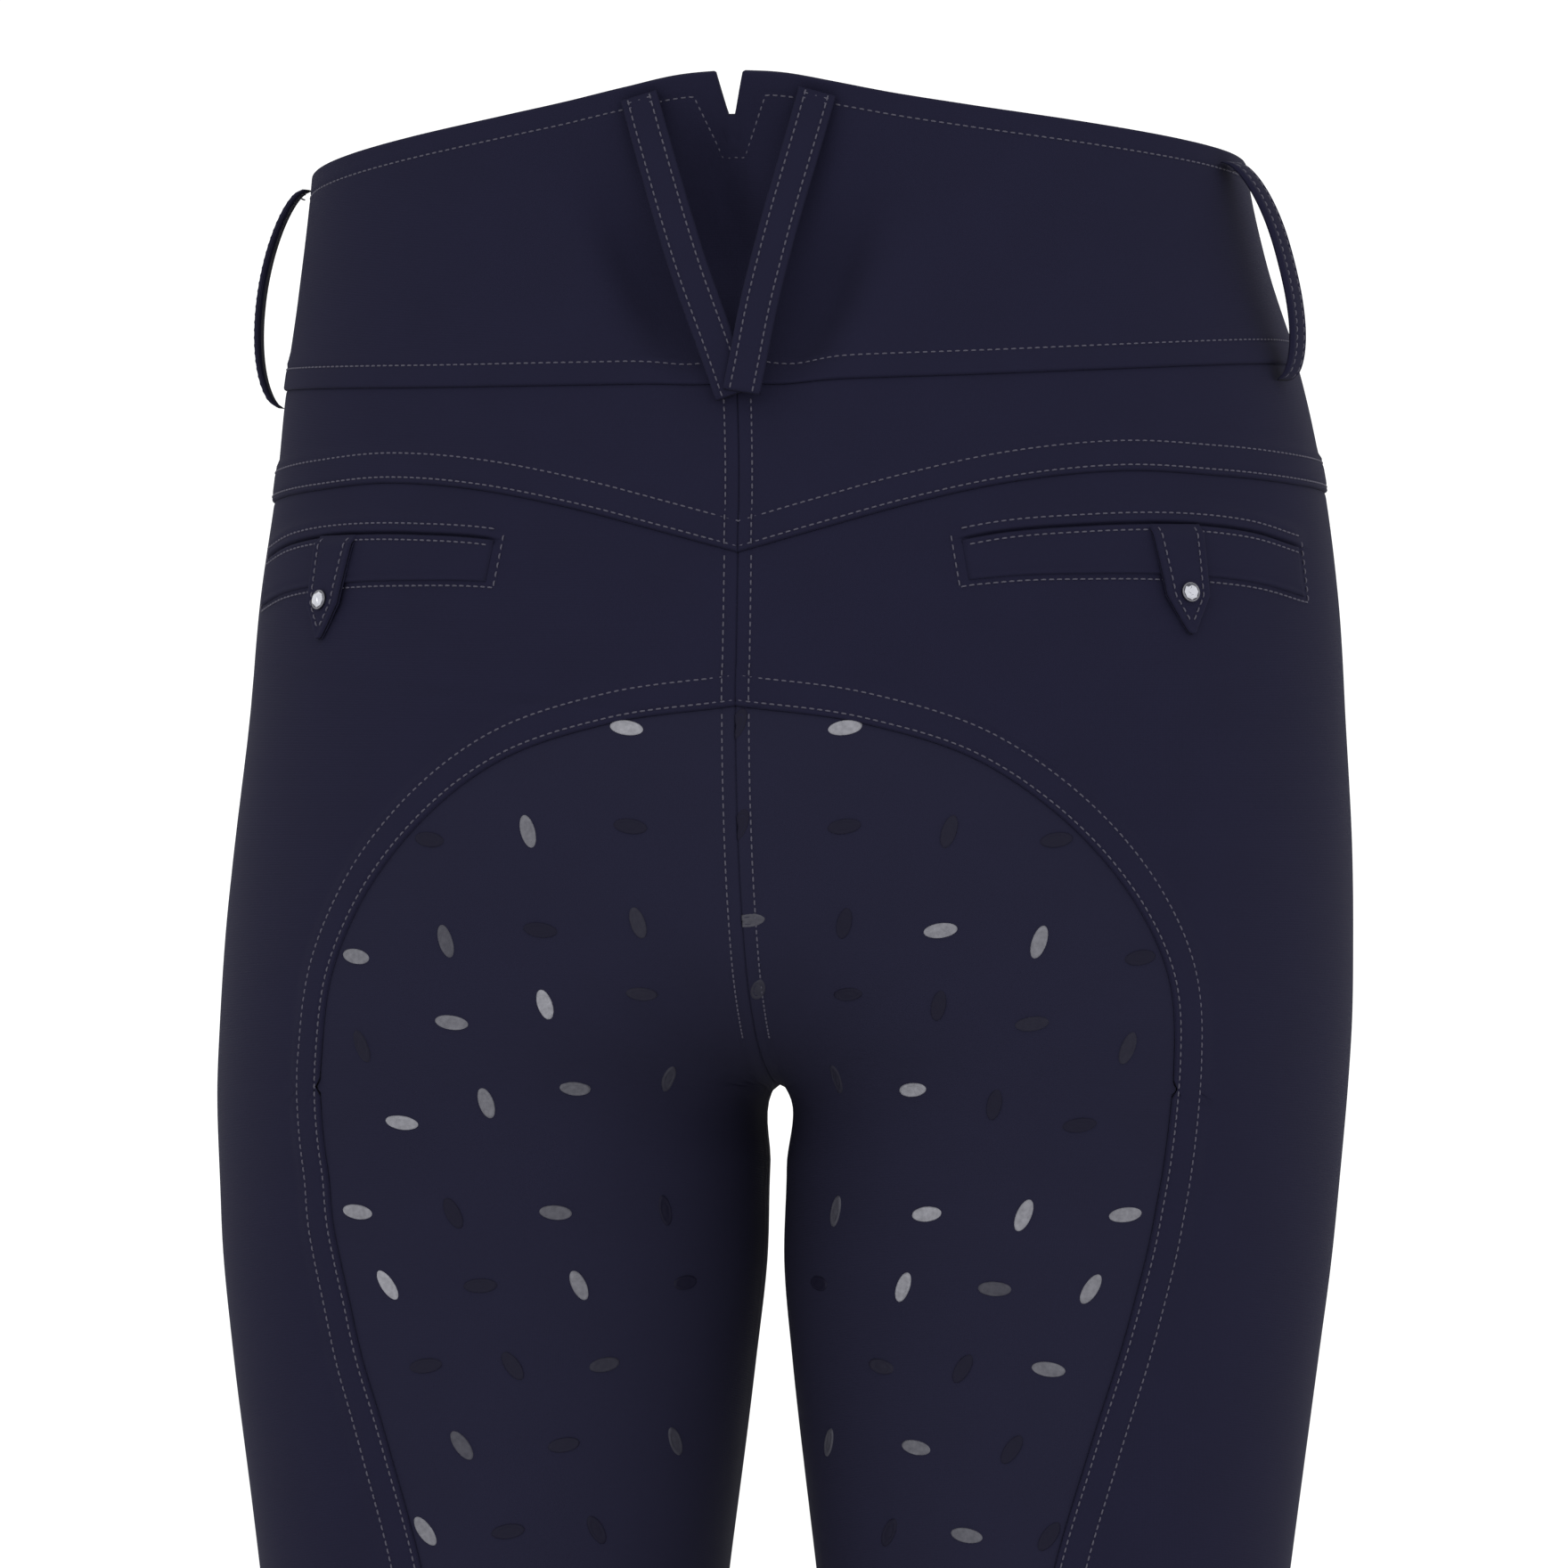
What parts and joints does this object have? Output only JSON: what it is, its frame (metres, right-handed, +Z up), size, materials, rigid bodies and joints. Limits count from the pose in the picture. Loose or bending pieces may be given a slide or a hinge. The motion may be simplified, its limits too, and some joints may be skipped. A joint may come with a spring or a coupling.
{
  "type": "riding breeches",
  "caption": "Full-seat riding breeches in worn pose: high curved waistband, back yoke, welt pockets with studded tabs, crossed back belt loops and a grip seat patch to open ankle hems.",
  "frame": {"origin": "centre of the waist opening, halfway up the waistband at the sides, where the breeches are held when worn", "axes": "+X towards the wearer's right, +Y towards the wearer's front, +Z up along the body"},
  "size_m": [0.3597, 0.2448, 1.0078],
  "materials": {
    "navy_softshell": "matt fine-faced dark navy softshell",
    "grip_seat_cloth": "the same dark navy softshell with raised silicone grip ovals",
    "cut_stone": "clear cut stone in a bright metal setting",
    "dark_button": "dark brushed metal"
  },
  "bodies": {
    "root": {"waistband_back": "navy_softshell", "waistband_front_left": "navy_softshell", "waistband_front_right": "navy_softshell", "yoke_left": "navy_softshell", "back_left": "navy_softshell", "front_left": "navy_softshell", "pocket_welt_left": "navy_softshell", "pocket_tab_left": "navy_softshell", "loop_side_left": "navy_softshell", "loop_back_left": "navy_softshell", "seat_left": "grip_seat_cloth", "stud_left": "cut_stone", "yoke_right": "navy_softshell", "back_right": "navy_softshell", "front_right": "navy_softshell", "pocket_welt_right": "navy_softshell", "pocket_tab_right": "navy_softshell", "loop_side_right": "navy_softshell", "loop_back_right": "navy_softshell", "seat_right": "grip_seat_cloth", "stud_right": "cut_stone", "fly": "navy_softshell", "waist_button": "dark_button"}
  },
  "joints": []
}
